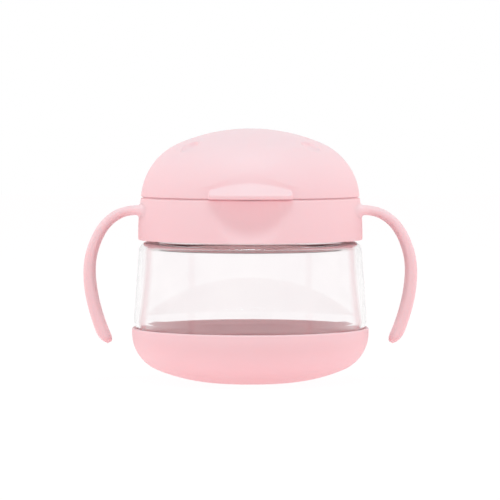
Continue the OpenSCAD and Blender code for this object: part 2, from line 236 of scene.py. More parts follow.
# Injection-moulded polypropylene with a fine spark-eroded grain: an even pastel with a broad soft sheen.
# The grain is about 0.05 mm on a real mould and is drawn at 0.35 mm, or it wouldn't show at all.
polypropylene = dict(pale="#F8D5D9", deep="#F7D1D6", patchMm=26, grainMm=0.35, grainDepthMm=0.006,
                     grainDetail=3.0, grainBite=0.6, bump=0.35, roughLow=0.52, roughHigh=0.62, ior=1.49,
                     skin=0.15, skinTint=(1.0, 0.4, 0.35), skinMm=1.5, sheen=0.0)

# Overmoulded thermoplastic elastomer from a blasted mould: matt and slightly rubbery, in the same pink,
# with a faint velvet sheen at its edges. The blasting is drawn at 0.5 mm, some three times as coarse as real.
elastomer = dict(pale="#F8D5D9", deep="#F6D0D5", patchMm=30, grainMm=0.5, grainDepthMm=0.012,
                 grainDetail=4.0, grainBite=0.65, bump=0.4, roughLow=0.55, roughHigh=0.68, ior=1.50,
                 skin=0.15, skinTint=(1.0, 0.4, 0.35), skinMm=2.0, sheen=0.1)

# Moulded silicone: milky, slightly see-through at its thin edges, with a dry silky surface. The mould's
# texture, near 0.1 mm, is drawn at 0.4 mm.
siliconeLook = dict(pale="#F6EAE9", deep="#F1E0DF", patchMm=14, grainMm=0.4, grainDepthMm=0.008,
                    grainDetail=3.0, grainBite=0.6, bump=0.3, roughLow=0.42, roughHigh=0.55, ior=1.41,
                    skin=0.35, skinTint=(1.0, 0.7, 0.65), skinMm=2.5, sheen=0.0)

# Clear copolyester from a polished mould: glassy, with a faint waviness of the moulded wall in its
# highlights. Lamps shine through it as through a thin wall, so what stands behind isn't in a dark shade.
copolyester = dict(tint="#FEFCFC", haze="#F8F5F6", ior=1.54, waveMm=18, waveDepthMm=0.02,
                   roughLow=0.01, roughHigh=0.035, shadowTint="#FCFAFA")


def clearCopolyester(look):
    material, tree = newMaterial("clearCopolyester")
    place = addNode(tree, "ShaderNodeTexCoord").outputs["Object"]
    waves = addNode(tree, "ShaderNodeTexNoise", sockets={
        "Vector": place, "Scale": 1 / (look["waveMm"] * mm), "Detail": 1.0, "Roughness": 0.4})
    tint = addNode(tree, "ShaderNodeMix", {"data_type": "RGBA"}, {
        0: waves.outputs["Fac"], 6: linear(look["tint"]), 7: linear(look["haze"])})
    rough = addNode(tree, "ShaderNodeMapRange", sockets={
        "Value": waves.outputs["Fac"], "From Min": 0.3, "From Max": 0.7,
        "To Min": look["roughLow"], "To Max": look["roughHigh"]})
    bump = addNode(tree, "ShaderNodeBump", sockets={
        "Height": waves.outputs["Fac"], "Strength": 0.15, "Distance": look["waveDepthMm"] * mm})
    shader = addNode(tree, "ShaderNodeBsdfPrincipled", sockets={
        "Base Color": tint.outputs[2], "Roughness": rough.outputs["Result"], "Normal": bump.outputs["Normal"],
        "IOR": look["ior"], "Transmission Weight": 1.0})
    ray = addNode(tree, "ShaderNodeLightPath")
    through = addNode(tree, "ShaderNodeBsdfTransparent", sockets={"Color": linear(look["shadowTint"])})
    soft = addNode(tree, "ShaderNodeMath", {"operation": "MAXIMUM"}, {
        0: ray.outputs["Is Shadow Ray"], 1: ray.outputs["Is Diffuse Ray"]})
    mix = addNode(tree, "ShaderNodeMixShader", sockets={
        0: soft.outputs[0], 1: shader.outputs["BSDF"], 2: through.outputs["BSDF"]})
    addNode(tree, "ShaderNodeOutputMaterial", sockets={"Surface": mix.outputs["Shader"]})
    return material


# Drawn stainless steel wire: fine scratches along its length, so its sheen is stretched across it.
# Drawing lines are about 0.02 mm apart and are drawn at 0.1 mm.
steelLook = dict(bright="#D2D1CF", dull="#B7B6B5", lineMm=0.1, lineLengthMm=6, lineDepthMm=0.004,
                 roughLow=0.22, roughHigh=0.4)


def drawnSteel(look):
    material, tree = newMaterial("drawnSteel")
    place = addNode(tree, "ShaderNodeTexCoord").outputs["Object"]
    stretched = addNode(tree, "ShaderNodeMapping", sockets={
        "Vector": place, "Scale": (look["lineMm"] / look["lineLengthMm"], 1.0, 1.0)})
    lines = addNode(tree, "ShaderNodeTexNoise", sockets={
        "Vector": stretched.outputs["Vector"], "Scale": 1 / (look["lineMm"] * mm), "Detail": 2.0})
    tint = addNode(tree, "ShaderNodeMix", {"data_type": "RGBA"}, {
        0: lines.outputs["Fac"], 6: linear(look["bright"]), 7: linear(look["dull"])})
    rough = addNode(tree, "ShaderNodeMapRange", sockets={
        "Value": lines.outputs["Fac"], "To Min": look["roughLow"], "To Max": look["roughHigh"]})
    bump = addNode(tree, "ShaderNodeBump", sockets={
        "Height": lines.outputs["Fac"], "Strength": 0.2, "Distance": look["lineDepthMm"] * mm})
    shader = addNode(tree, "ShaderNodeBsdfPrincipled", sockets={
        "Base Color": tint.outputs[2], "Metallic": 1.0, "Roughness": rough.outputs["Result"],
        "Normal": bump.outputs["Normal"]})
    addNode(tree, "ShaderNodeOutputMaterial", sockets={"Surface": shader.outputs["BSDF"]})
    return material


hardPink = matMoulding("mouldedPolypropylene", polypropylene)
softPink = matMoulding("mouldedElastomer", elastomer)
clearPlastic = clearCopolyester(copolyester)
silicone = matMoulding("mouldedSilicone", siliconeLook)
steel = drawnSteel(steelLook)
print("materials ready")


# thread: each ridge runs over span degrees and climbs by lead in a full turn
thread = dict(starts=3, lead=15.0, span=100.0, first=10.0, endShare=1 / 8, rootHalf=0.85, crestHalf=0.4,
              soften=0.15)


# how far a ridge stands out at a direction and height, from 0 to 1
def ridgeAt(angle, z, startZ):
    t = thread
    best = 0.0
    for k in range(t["starts"]):
        along = (angle - t["first"] - 360 / t["starts"] * k) % 360 / t["span"]
        if along > 1:
            continue
        off = abs(z - startZ - t["lead"] * t["span"] * along / 360)
        full = min(1, min(along, 1 - along) / t["endShare"])
        side = (t["rootHalf"] + t["soften"] - off) / (t["rootHalf"] - t["crestHalf"] + 2 * t["soften"])
        best = max(best, ease(full) * ease(side))
    return best


# soft base: a bowl with a free rim, and three grooves under the foot
boot = dict(radius=49.9, corner=16.6, cornerZ=20.56, bowl=71.2, bowlOff=12.3, bowlZ=70.96, wall=1.9,
            height=22.8, rim=0.65, floor=2.2, rimBase=(48.32, 21.4),
            grooves=(5.5, 9.5, 13.5), grooveWide=1.6, grooveDeep=0.6, grooveSlope=0.1, grooveBorder=0.6,
            footEase=((-1.2, 0), (-0.5, 0.01), (0.1, 0.1), (0.9, 0.38)), footEaseEnd=1.6, step=0.8)


# the bowl's outside moved inwards by off, from the flat at height z to the start of the upright wall
def bowlLine(off, z):
    cornerR = boot["radius"] - boot["corner"]
    tangent = math.degrees(math.atan2(boot["cornerZ"] - boot["bowlZ"], cornerR - boot["bowlOff"]))
    low = math.degrees(math.asin((z - boot["bowlZ"]) / (boot["bowl"] - off)))
    return (arc((boot["bowlOff"], boot["bowlZ"]), boot["bowl"] - off, low, tangent, boot["step"])[:-1]
            + arc((cornerR, boot["cornerZ"]), boot["corner"] - off, tangent, 0, boot["step"]))


def makeBoot():
    b = boot
    wide, deep, slope, border = b["grooveWide"], b["grooveDeep"], b["grooveSlope"], b["grooveBorder"]
    outside = bowlLine(0, 0)
    footR = outside[0][0]
    under = [(0, 0)]
    for r in b["grooves"]:
        under += rounded([(r - border, 0), (r, 0, 0.25), (r + slope, deep, 0.2),
                          (r + wide - slope, deep, 0.2), (r + wide, 0, 0.25), (r + wide + border, 0)],
                         closed=False, steps=3)
    under += [(footR + across, z) for across, z in b["footEase"]]
    outside = [p for p in outside if p[0] > footR + b["footEaseEnd"]]
    rim = arc((b["radius"] - b["rim"], b["height"] - b["rim"]), b["rim"], 0, 180, 0.12)
    inside = bowlLine(b["wall"], b["floor"])[::-1] + [(0, b["floor"])]
    mesh = bmesh.new()
    turned(mesh, under + outside + rim + [b["rimBase"]] + inside, columns(1.5), closed=False)
    addPiece("softBase", mesh, softPink, "container", ["base_boot"])


# clear container: a bowl that sits in the base, round shoulder, neck with the thread
tub = dict(wall=2.0, floor=2.2, floorTop=4.4, seat=0.05, belly=(49.1, 26.0), top=(47.1, 55.0),
           shoulder=4.2, neck=40.8, neckLow=61.0, neckHigh=72.3, neckTop=73.0, neckFillet=0.5,
           innerFillet=1.6, mouthFillet=0.45, ridge=1.35, ridgeStart=65.2, ridgeZone=(61.2, 72.2),
           ridgeFrom=62, ridgeStep=0.22, wallStep=1.2)


def makeContainer():
    t = tub
    seat = boot["wall"] + t["seat"]  # the clear wall stays a hair off the base that it sits in
    under = t["floor"] + t["seat"]
    shoulder = (t["top"][0] - t["shoulder"], t["top"][1])
    shoulderTop = t["top"][1] + t["shoulder"]
    neckIn = t["neck"] - t["wall"]
    bellyIn = (t["belly"][0] - t["wall"], t["belly"][1])
    topIn = (t["top"][0] - t["wall"], t["top"][1])
    lowIn = (boot["radius"] - boot["wall"] - t["wall"], boot["cornerZ"])

    outside = bowlLine(seat, under)
    outside += straight((boot["radius"] - seat, boot["cornerZ"]), t["belly"], boot["step"])[1:]
    outside += straight(t["belly"], t["top"], t["wallStep"])[1:-1]
    outside += arc(shoulder, t["shoulder"], 0, 90, 0.3)
    outside += rounded([outside[-1], (t["neck"], shoulderTop, t["neckFillet"]), (t["neck"], t["neckLow"])],
                       closed=False)[1:]
    outside += straight(*[(t["neck"], z) for z in t["ridgeZone"]], t["ridgeStep"])
    mouth = rounded([(t["neck"], t["neckHigh"]), (t["neck"], t["neckTop"], t["mouthFillet"]),
                     (neckIn, t["neckTop"], t["mouthFillet"]), (neckIn, t["neckHigh"])], closed=False)
    inside = rounded([(neckIn, t["neckLow"]), (neckIn, shoulderTop - t["wall"], t["innerFillet"]),
                      (shoulder[0], shoulderTop - t["wall"])], closed=False, steps=8)
    inside += arc(shoulder, t["shoulder"] - t["wall"], 90, 0, 0.25)
    inside += straight(topIn, bellyIn, t["wallStep"])[1:]
    inside += straight(bellyIn, lowIn, boot["step"])[1:-1]
    inside += bowlLine(boot["wall"] + t["wall"], t["floorTop"])[::-1] + [(0, t["floorTop"])]

    def withThread(angle, r, z):
        if r > t["neck"] - 0.01 and z > t["ridgeFrom"]:
            r += t["ridge"] * ridgeAt(angle, z, t["ridgeStart"])
        return r, z

    mesh = bmesh.new()
    turned(mesh, [(0, under)] + outside + mouth + inside, columns(1.25), closed=False, shape=withThread)
    addPiece("clearContainer", mesh, clearPlastic, "container", ["container"])


makeBoot()
makeContainer()


# soft sealing ring between the neck and the deck, with a fine rib on each face
gasket = dict(inner=39.15, outer=42.05, low=73.0, high=74.4, rib=0.12, ribR=40.5, ribHalf=0.3)


def makeNeckGasket():
    g = gasket
    face = [(g["inner"], g["rib"], 0.2), (g["ribR"] - g["ribHalf"], g["rib"], 0.1), (g["ribR"], 0, 0.1),
            (g["ribR"] + g["ribHalf"], g["rib"], 0.1), (g["outer"], g["rib"], 0.3)]
    profile = rounded([(r, g["low"] + z, fillet) for r, z, fillet in face]
                      + [(r, g["high"] - z, fillet) for r, z, fillet in face[::-1]], steps=3)
    mesh = bmesh.new()
    turned(mesh, profile, columns(3))
    addPiece("neckGasket", mesh, silicone, "gasket", ["container_gasket"])


makeNeckGasket()


# collar: a barrel-shaped ring with the raised lip, the thumb scoop and the inner thread, the two handles
# and the hinge's ears
collar = dict(low=59.9, high=77.4, waist=62.0, waistR=47.25, barrel=103.7, bore=42.6, deckUnder=74.4,
              deckR=38.0, deckFlat=39.6, lipIn=40.4, lipOut=42.9, lipSide=78.6, lipTop=80.6, lowEdge=0.3,
              topEdge=0.6, stepTop=77.85, stepOut=45.3, stepIn=43.4, stepSlope=0.1, wallLow=60.9,
              wallHigh=76.6, wallRows=40, boreLow=60.6, boreHigh=73.4, ridge=1.35, ridgeStart=63.5,
              ridgeEnd=73.0, ridgeStep=0.25)
scoop = dict(depth=2.5, rim=46.1, wide=85.0, tall=33.0, middle=74.0, blend=1.0, reach=0.7,
             topFrom=77.0, topWhole=0.7, underFrom=1.0)
handle = dict(path=((44.2, 72.1), (55.33, 73.3), (62.8, 68.21), (66.64, 55.08),
                    (69.67, 44.71), (66.51, 29.8), (60.15, 16.1)),
              rootThick=4.0, thick=5.3, depth=12.0, square=0.7, overFillet=1.3, underFillet=1.5,
              sideFillet=11.0, sideReach=7.0, tip=3.0, tipOver=6.5, tipWide=0.25, tipUnder=0.56,
              rootLength=8, bendLength=10, rootSunk=0.03, rootRows=22, midRows=64, tipRows=12, around=56,
              capAt=(44.6, 71.8), capShare=0.3)
hinge = dict(y=49.6, z=77.8, knuckle=2.9, pin=1.0, pinHalf=11.3, pinPlain=10.0, earIn=7.0, earOut=11.5,
             earRoot=44.2, earTop=77.0, earEdge=0.45, lidHalf=6.7, lidUnder=78.22, lidNose=46.85,
             lidEdge=0.35, shelfLow=71.9, shelfTop=74.5, shelfRoot=44.0, back=52.5)


def barrelR(z):
    return collar["waistR"] - collar["barrel"] + math.sqrt(collar["barrel"] ** 2 - (z - collar["waist"]) ** 2)


# radius of the thumb scoop's surface at a direction and height, or a large value beside it
def scoopR(angle, z):
    away = scoop["rim"] - scoop["depth"] + scoop["wide"]
    off = math.radians(angle + 90)
    reach = scoop["wide"] - scoop["tall"] + math.sqrt(max(0, scoop["tall"] ** 2 - (z - scoop["middle"]) ** 2))
    inside = reach ** 2 - (away * math.sin(off)) ** 2
    if abs(off) > scoop["reach"] or inside <= 0:
        return 999.0
    return away * math.cos(off) - math.sqrt(inside)


def collarRing(mesh):
    c = collar
    wallRise = c["wallHigh"] - c["wallLow"]
    outside = [(c["bore"] + 0.3, c["low"])]
    outside += rounded([(c["bore"], c["low"]), (barrelR(c["low"]), c["low"], c["lowEdge"]),
                        (barrelR(c["wallLow"] + 0.3), c["wallLow"] + 0.3)], closed=False)[1:-1]
    outside += [(barrelR(z), z) for z in (c["wallLow"] + wallRise * i / c["wallRows"]
                                          for i in range(c["wallRows"] + 1))]
    outside += rounded([(barrelR(c["wallHigh"]), c["wallHigh"]),
                        (barrelR(c["high"]), c["high"], c["topEdge"]),
                        (c["stepOut"], c["high"], 0.1), (c["stepOut"] - c["stepSlope"], c["stepTop"], 0.1),
                        (c["stepIn"] + c["stepSlope"], c["stepTop"], 0.1), (c["stepIn"], c["high"], 0.1),
                        (c["stepIn"] - c["stepSlope"], c["high"])], closed=False)[1:]
    lipRound = (c["lipOut"] - c["lipIn"]) / 2
    lip = rounded([(c["lipOut"] + 0.3, c["high"]), (c["lipOut"], c["high"], 0.15),
                   (c["lipOut"], c["lipSide"])], closed=False)
    lip += arc((c["lipIn"] + lipRound, c["lipTop"] - lipRound), lipRound, 0, 180, 0.25)
    lip += rounded([(c["lipIn"], c["lipSide"]), (c["lipIn"], c["high"], 0.2), (c["deckFlat"], c["high"]),
                    (c["deckR"], c["high"], 0.25), (c["deckR"], c["deckUnder"], 0.25),
                    (c["deckFlat"], c["deckUnder"]), (c["bore"], c["deckUnder"], 0.3),
                    (c["bore"], c["boreHigh"] + 0.2)], closed=False)
    bore = straight((c["bore"], c["boreHigh"]), (c["bore"], c["boreLow"]), c["ridgeStep"])
    bore += [(c["bore"], c["low"] + 0.3), (c["bore"] + 0.1, c["low"] + 0.1)]

    # the scoop cuts the wall whole, fades out over the top towards the lip and under the lower edge
    # towards the bore; the thread stands out of the bore
    def shaped(angle, r, z):
        hair = 0.01
        lipSide, underSide = c["lipOut"] + 0.05, c["bore"] + scoop["underFrom"]
        if r > lipSide and z < c["stepTop"] + hair:
            outer = barrelR(min(z, c["high"]))
            cut = outer - softMin(outer, scoopR(angle, z), scoop["blend"])
            topEdge = outer - scoop["topWhole"]
            if z <= c["low"] + hair:
                cut *= max(0, (r - underSide) / (outer - underSide))
            elif z > scoop["topFrom"] and r <= topEdge:
                cut *= (r - lipSide) / (topEdge - lipSide)
            r -= cut
        elif abs(r - c["bore"]) < 2 * hair and z < c["ridgeEnd"]:
            r -= c["ridge"] * ridgeAt(angle, z, c["ridgeStart"])
        return r, z

    scoopZone = (-90, 33, 0.75)
    turned(mesh, outside + lip + bore, columns(1.5, [scoopZone]), shape=shaped)


def bezier(p, t):
    u = 1 - t
    return tuple(u ** 3 * p[0][k] + 3 * u * u * t * p[1][k] + 3 * u * t * t * p[2][k] + t ** 3 * p[3][k]
                 for k in (0, 1))


# the handle's centreline from where it leaves the collar, and how far along it each point lies
def handlePath(count=400):
    p = handle["path"]
    points = [bezier(p[:4], i / count) for i in range(count)]
    points += [bezier(p[3:], i / count) for i in range(count + 1)]
    start = next(i for i, q in enumerate(points) if q[0] > barrelR(q[1]))
    points = points[start:]
    travel = [0.0]
    for a, b in zip(points, points[1:]):
        travel.append(travel[-1] + math.dist(a, b))
    return points, travel


# a fillet's height at distance d from its start
def concave(d, reach, size):
    return 0 if d >= reach else size * (1 - math.sqrt(1 - (1 - d / reach) ** 2))


# 1 up to the last stretch of a handle, then down like a quarter circle
def tipRound(left, length, least=0.0):
    return 1 if left > length else math.sqrt(max(least, 1 - (1 - left / length) ** 2))


def addHandle(mesh, side):
    h = handle
    points, travel = handlePath()
    total = travel[-1]
    middle = total - h["tip"] - h["rootLength"]
    stops = [h["rootLength"] * (i / h["rootRows"]) ** 2 for i in range(h["rootRows"])]
    stops += [h["rootLength"] + middle * i / h["midRows"] for i in range(h["midRows"] + 1)]
    stops += [total - h["tip"] + h["tip"] * math.sin(math.pi / 2 * i / h["tipRows"])
              for i in range(1, h["tipRows"] + 1)]
    rings = []
    for stop in stops:
        i = min(range(len(travel)), key=lambda k: abs(travel[k] - stop))
        cx, cz = points[i]
        a, b = points[max(0, i - 4)], points[min(len(points) - 1, i + 4)]
        length = math.dist(a, b)
        dx, dz = (b[0] - a[0]) / length, (b[1] - a[1]) / length
        left = max(0, total - stop)
        end = tipRound(left, h["tip"], 0.004)
        over = 1.5 * tipRound(left, h["tipOver"]) - 0.5  # the outer side of the tip is rounded off further
        under = h["tipUnder"] + (1 - h["tipUnder"]) * end
        grown = min(1, (stop / total + 0.02) * 1.5)  # full thickness two thirds of the way along
        thick = h["rootThick"] + (h["thick"] - h["rootThick"]) * grown
        wide = h["depth"] * (h["tipWide"] + (1 - h["tipWide"]) * end) / 2
        wide += concave(stop, h["sideReach"], h["sideFillet"])
        bend = 1 - ease(stop / h["bendLength"])  # lays the root on the collar's round wall
        ring = []
        for k in range(h["around"]):
            t = 2 * math.pi * k / h["around"]
            across = math.copysign(abs(math.cos(t)) ** h["square"], math.cos(t))
            up = math.copysign(abs(math.sin(t)) ** h["square"], math.sin(t))
            fillet = h["overFillet"] if up > 0 else h["underFillet"]
            y = wide * across
            out = (thick / 2 * (over if up > 0 else under) + concave(stop, fillet, fillet)) * up
            x, z = cx - dz * out, cz + dx * out
            x += bend * (barrelR(z) + stop - x)
            x += bend * (math.sqrt(max(1, x * x - y * y)) - x)
            if stop == 0:
                x -= h["rootSunk"]  # just under the wall, so that no gap shows
            ring.append(mesh.verts.new((side * x * mm, y * mm, z * mm)))
        rings.append(ring)
    for ring, following in zip(rings, rings[1:]):
        bridge(mesh, ring, following)
    capX, capZ = h["capAt"]
    cap = Vector((side * capX * mm, 0, capZ * mm))  # the closed root lies hidden in the collar's wall
    root = [mesh.verts.new(v.co.lerp(cap, h["capShare"])) for v in rings[0]]
    bridge(mesh, root, rings[0])
    mesh.faces.new(root)
    mesh.faces.new(rings[-1])


# turns a plate drawn in (y, z) so that its thickness runs along x
alongX = Matrix(((0, 0, 1, 0), (1, 0, 0, 0), (0, 1, 0, 0), (0, 0, 0, 1)))


def addEars(mesh):
    h = hinge
    axis = (h["y"], h["z"])
    outline = [(h["earRoot"], h["shelfLow"] + 0.2), (h["earRoot"], h["earTop"])]
    outline += arc(axis, h["knuckle"], 180, 0, 0.25) + [(h["back"], h["shelfLow"])]
    for side in (-1, 1):
        low, high = sorted((side * h["earIn"], side * h["earOut"]))
        plate(mesh, outline, low, high, h["earEdge"], holes=[axis + (h["pin"] + 0.02,)], place=alongX)
    back = h["back"] - 0.1
    shelf = rounded([(h["shelfRoot"], h["shelfLow"], 0.3), (h["shelfRoot"], h["shelfTop"], 0.2),
                     (back, h["shelfTop"], 0.4), (back, h["shelfLow"] + 0.02, 0.9)])
    plate(mesh, shelf, -h["earIn"] - 0.5, h["earIn"] + 0.5, 0.2, place=alongX, steps=2)


def makeCollar():
    mesh = bmesh.new()
    collarRing(mesh)
    for side in (-1, 1):
        addHandle(mesh, side)
    addEars(mesh)
    addPiece("pinkCollar", mesh, hardPink, "collar", ["collar"])


def makeHingePin():
    half, r, plain, fillet = hinge["pinHalf"], hinge["pin"] - 0.01, hinge["pinPlain"], 0.25
    profile = [(0, -half)] + rounded([(0, -half), (r, -half, fillet), (r, 1 - plain)], closed=False)[1:-1]
    profile += straight((r, -plain), (r, plain), 1.0)
    profile += rounded([(r, plain - 1), (r, half, fillet), (0, half)], closed=False)[1:-1] + [(0, half)]
    mesh = bmesh.new()
    turned(mesh, profile, columns(10), closed=False)
    place = Matrix.Translation((0, hinge["y"] * mm, hinge["z"] * mm)) @ Matrix.Rotation(math.pi / 2, 4, "Y")
    bmesh.ops.transform(mesh, matrix=place, verts=mesh.verts[:])
    addPiece("hingePin", mesh, steel, "collar", ["hinge_pin"])


makeCollar()
makeHingePin()


# soft opening: a grommet ring with a six-sided window, and six flaps that hang in it
opening = dict(line=29.4, gap=0.24, thick=1.4, middle=78.2, centreHole=1.2, tear=0.9, notch=1.1,
               web=29.6, webSoft=30.3, webPoint=0.12, webBack=0.02, webRound=30.4, webEnd=34.5,
               webFlat=(32, 34), throat=35.0, throatIn=34.2, flange=40.35, flangeTop=79.2, seatTop=77.43,
               seatR=37.97, seatLow=74.37, barb=38.6, barbTop=73.7, bottom=73.0, flapEdge=0.3)


def makeFlapRing():
    o = opening
    apex = o["line"] + o["gap"] / 2
    cornerAway = apex / math.cos(math.radians(30))
    low, high = o["middle"] - o["thick"] / 2, o["middle"] + o["thick"] / 2
    profile = [(o["webSoft"], low), (o["web"], o["middle"] - o["webPoint"]),
               (o["web"], o["middle"] + o["webPoint"]), (o["webSoft"], high)]
    profile += [(r, high) for r in o["webFlat"]]
    profile += rounded([
        (o["throatIn"], high), (o["throat"], high, 0.12), (o["throat"] + 0.2, o["flangeTop"], 0.2),
        (o["flange"], o["flangeTop"], 0.3), (o["flange"], o["seatTop"], 0.15),
        (o["seatR"], o["seatTop"], 0.15), (o["seatR"], o["seatLow"], 0.15), (o["barb"], o["seatLow"], 0.15),
        (o["barb"], o["barbTop"], 0.2), (o["barb"] - 0.7, o["bottom"], 0.25), (o["throat"], o["bottom"], 0.4),
        (o["throat"], low, 0.4), (o["webFlat"][1], low)], closed=False, steps=4)
    profile.append((o["webFlat"][0], low))

    # moves the web to the six-sided window, with a small round hole in each corner so that it can't tear
    def sixSided(angle, r, z):
        if r > o["webEnd"]:
            return r, z
        off = math.radians((angle + 30) % 60 - 30)
        side = math.radians(angle % 60 - 30)
        edge = apex / math.cos(side)
        hole = o["tear"] ** 2 - (cornerAway * math.sin(off)) ** 2
        if hole > 0:
            edge = softMax(edge, cornerAway * math.cos(off) + math.sqrt(hole), 0.15)
        if r > o["webRound"]:
            return r + (edge - o["web"]) * (o["webEnd"] - r) / (o["webEnd"] - o["web"]), z
        return r + edge - o["web"] + (o["webBack"] if r < o["webSoft"] - 0.1 else 0), z

    cornerZones = [(60 * k - 180, 3.1, 0.3) for k in range(7)]
    mesh = bmesh.new()
    turned(mesh, profile, columns(1.5, cornerZones), shape=sixSided)
    addPiece("flapRing", mesh, silicone, "collar", ["flap_ring"])


# a flap: a triangle that points at the axis, its hinge line at apex, notched round the tear holes
def makeFlap(number):
    o = opening
    apex = o["line"] - o["gap"] / 2
    cornerAway = o["line"] / math.cos(math.radians(30))
    low, high = o["middle"] - o["thick"] / 2, o["middle"] + o["thick"] / 2
    tip = [(o["centreHole"] * math.cos(math.radians(a)), o["centreHole"] * math.sin(math.radians(a)))
           for a in (-17, -8, 0, 8, 17)]
    ends = []
    for side in (-1, 1):
        x, y = cornerAway * math.cos(math.radians(30)), side * cornerAway * math.sin(math.radians(30))
        ends.append([(x + o["notch"] * math.cos(math.radians(side * a)),
                      y + o["notch"] * math.sin(math.radians(side * a))) for a in range(-97, -198, -20)])
    outline = [p for p in tip[:1] + ends[0][::-1] + ends[1] + tip[:0:-1] if p[0] <= apex]
    mesh = bmesh.new()
    turn = Matrix.Rotation(math.radians(60 * number - 90), 4, "Z")
    plate(mesh, outline, low, high, o["flapEdge"], place=turn)
    node = f"flap_{number + 1}"
    addPiece(f"flap{number + 1}", mesh, silicone, node, [node])


makeFlapRing()
for number in range(6):
    makeFlap(number)


# lid: a dome of two arcs with a thumb tab, two dimples, the seal's groove and the hinge knuckle
lid = dict(low=77.95, haunch=26.5, haunchR=19.6, haunchZ=76.1, crown=76.52, crownZ=30.08, tangent=23.07,
           wall=2.2, edge=0.6, foot=44.2, footCut=(43.95, 45.4), dimplesTo=54, tabFrom=21, footFrom=6.2,
           skin=0.5, wallIn=(80.0, 80.6, 81.2, 81.8), sealIn=39.0, sealOut=40.0, groove=(81.4, 82.6),
           grooveEnds=(82.0, 85.4), ridgeTop=84.2, innerFrom=85.6)
tab = dict(front=49.3, curve=35.5, half=17.3, step=79.3, stepBack=0.25, ledge=79.75, top=84.95, lean=5.3,
           drop=1.5, endRound=3.2, endPinch=3, corner=2.0, blend=0.45, hollow=0.5, hollowFade=6.5,
           domeLean=0.3, above=92, spread=0.65)
dimple = dict(at=(24.9, -20.1, 99.55), radius=4.2, deep=1.7, reach=1.3, above=94)


def domeR(z):
    return lid["haunchR"] + math.sqrt(max(0, lid["haunch"] ** 2 - (z - lid["haunchZ"]) ** 2))


def domeIn(z):
    return lid["haunchR"] + math.sqrt((lid["haunch"] - lid["wall"]) ** 2 - (z - lid["haunchZ"]) ** 2)


# how far the thumb tab stands out of the dome, or how deep the soft hollow round it is
def tabOut(angle, z):
    off = math.radians(angle + 90)
    if abs(off) > tab["spread"] or z > tab["above"]:
        return 0.0
    dome = domeR(z)
    across = dome * abs(math.sin(off))
    top = tab["top"] - tab["drop"] * min(1, across / tab["half"]) ** 2
    plan = tab["curve"]
    if z > tab["step"]:
        plan -= tab["stepBack"] * ease((z - tab["step"]) / (tab["ledge"] - tab["step"]))
    if z > tab["ledge"]:
        plan -= tab["lean"] * (z - tab["ledge"]) / (top - tab["ledge"])
    away = tab["front"] - tab["curve"]
    front = away * math.cos(off) + math.sqrt(max(0, plan ** 2 - (away * math.sin(off)) ** 2))
    rise = max(0, z - tab["ledge"])
    half = tab["half"] - tab["endRound"] + math.sqrt(max(0, tab["endRound"] ** 2 - rise ** 2))
    half -= tab["endPinch"] * max(0, rise - tab["endRound"])
    side = half / max(0.01, abs(math.sin(off)))
    steep = tab["lean"] / (top - tab["ledge"]) - tab["domeLean"]
    past = math.hypot(max(0, across - half), max(0, dome - front) / steep)
    hollow = tab["hollow"] * max(0, 1 - past / tab["hollowFade"]) ** 2
    return softMax(softMin(front, side, tab["corner"]) - dome, -hollow, tab["blend"])


# adds the tab to the dome's outside, fading under its edge, and sinks the dimples into the crown
def lidShape(angle, r, z):
    cutIn, cutOut = lid["footCut"]
    if z < tab["above"] and (r > cutIn or r > domeR(z) - lid["skin"]):
        share = 1.0 if z > lid["low"] + 0.02 or r > cutOut else (r - cutIn) / (cutOut - cutIn)
        return r + share * tabOut(angle, z), z
    if z > dimple["above"]:
        fromCrown = math.atan2(r, z - lid["crownZ"]) < math.radians(lid["tangent"])
        centreR, centreZ, radius = ((0, lid["crownZ"], lid["crown"]) if fromCrown
                                    else (lid["haunchR"], lid["haunchZ"], lid["haunch"]))
        x, y = r * math.cos(math.radians(angle)), r * math.sin(math.radians(angle))
        d = math.dist((abs(x), y, z), dimple["at"]) / dimple["radius"]  # a flat floor with steep sides
        if d < dimple["reach"] and math.hypot(r - centreR, z - centreZ) > radius - lid["skin"]:
            sink = softMax(dimple["deep"] * (1 - d ** 4), 0, 0.1)
            out = math.atan2(r - centreR, z - centreZ)
            return r - sink * math.sin(out), z - sink * math.cos(out)
    return r, z


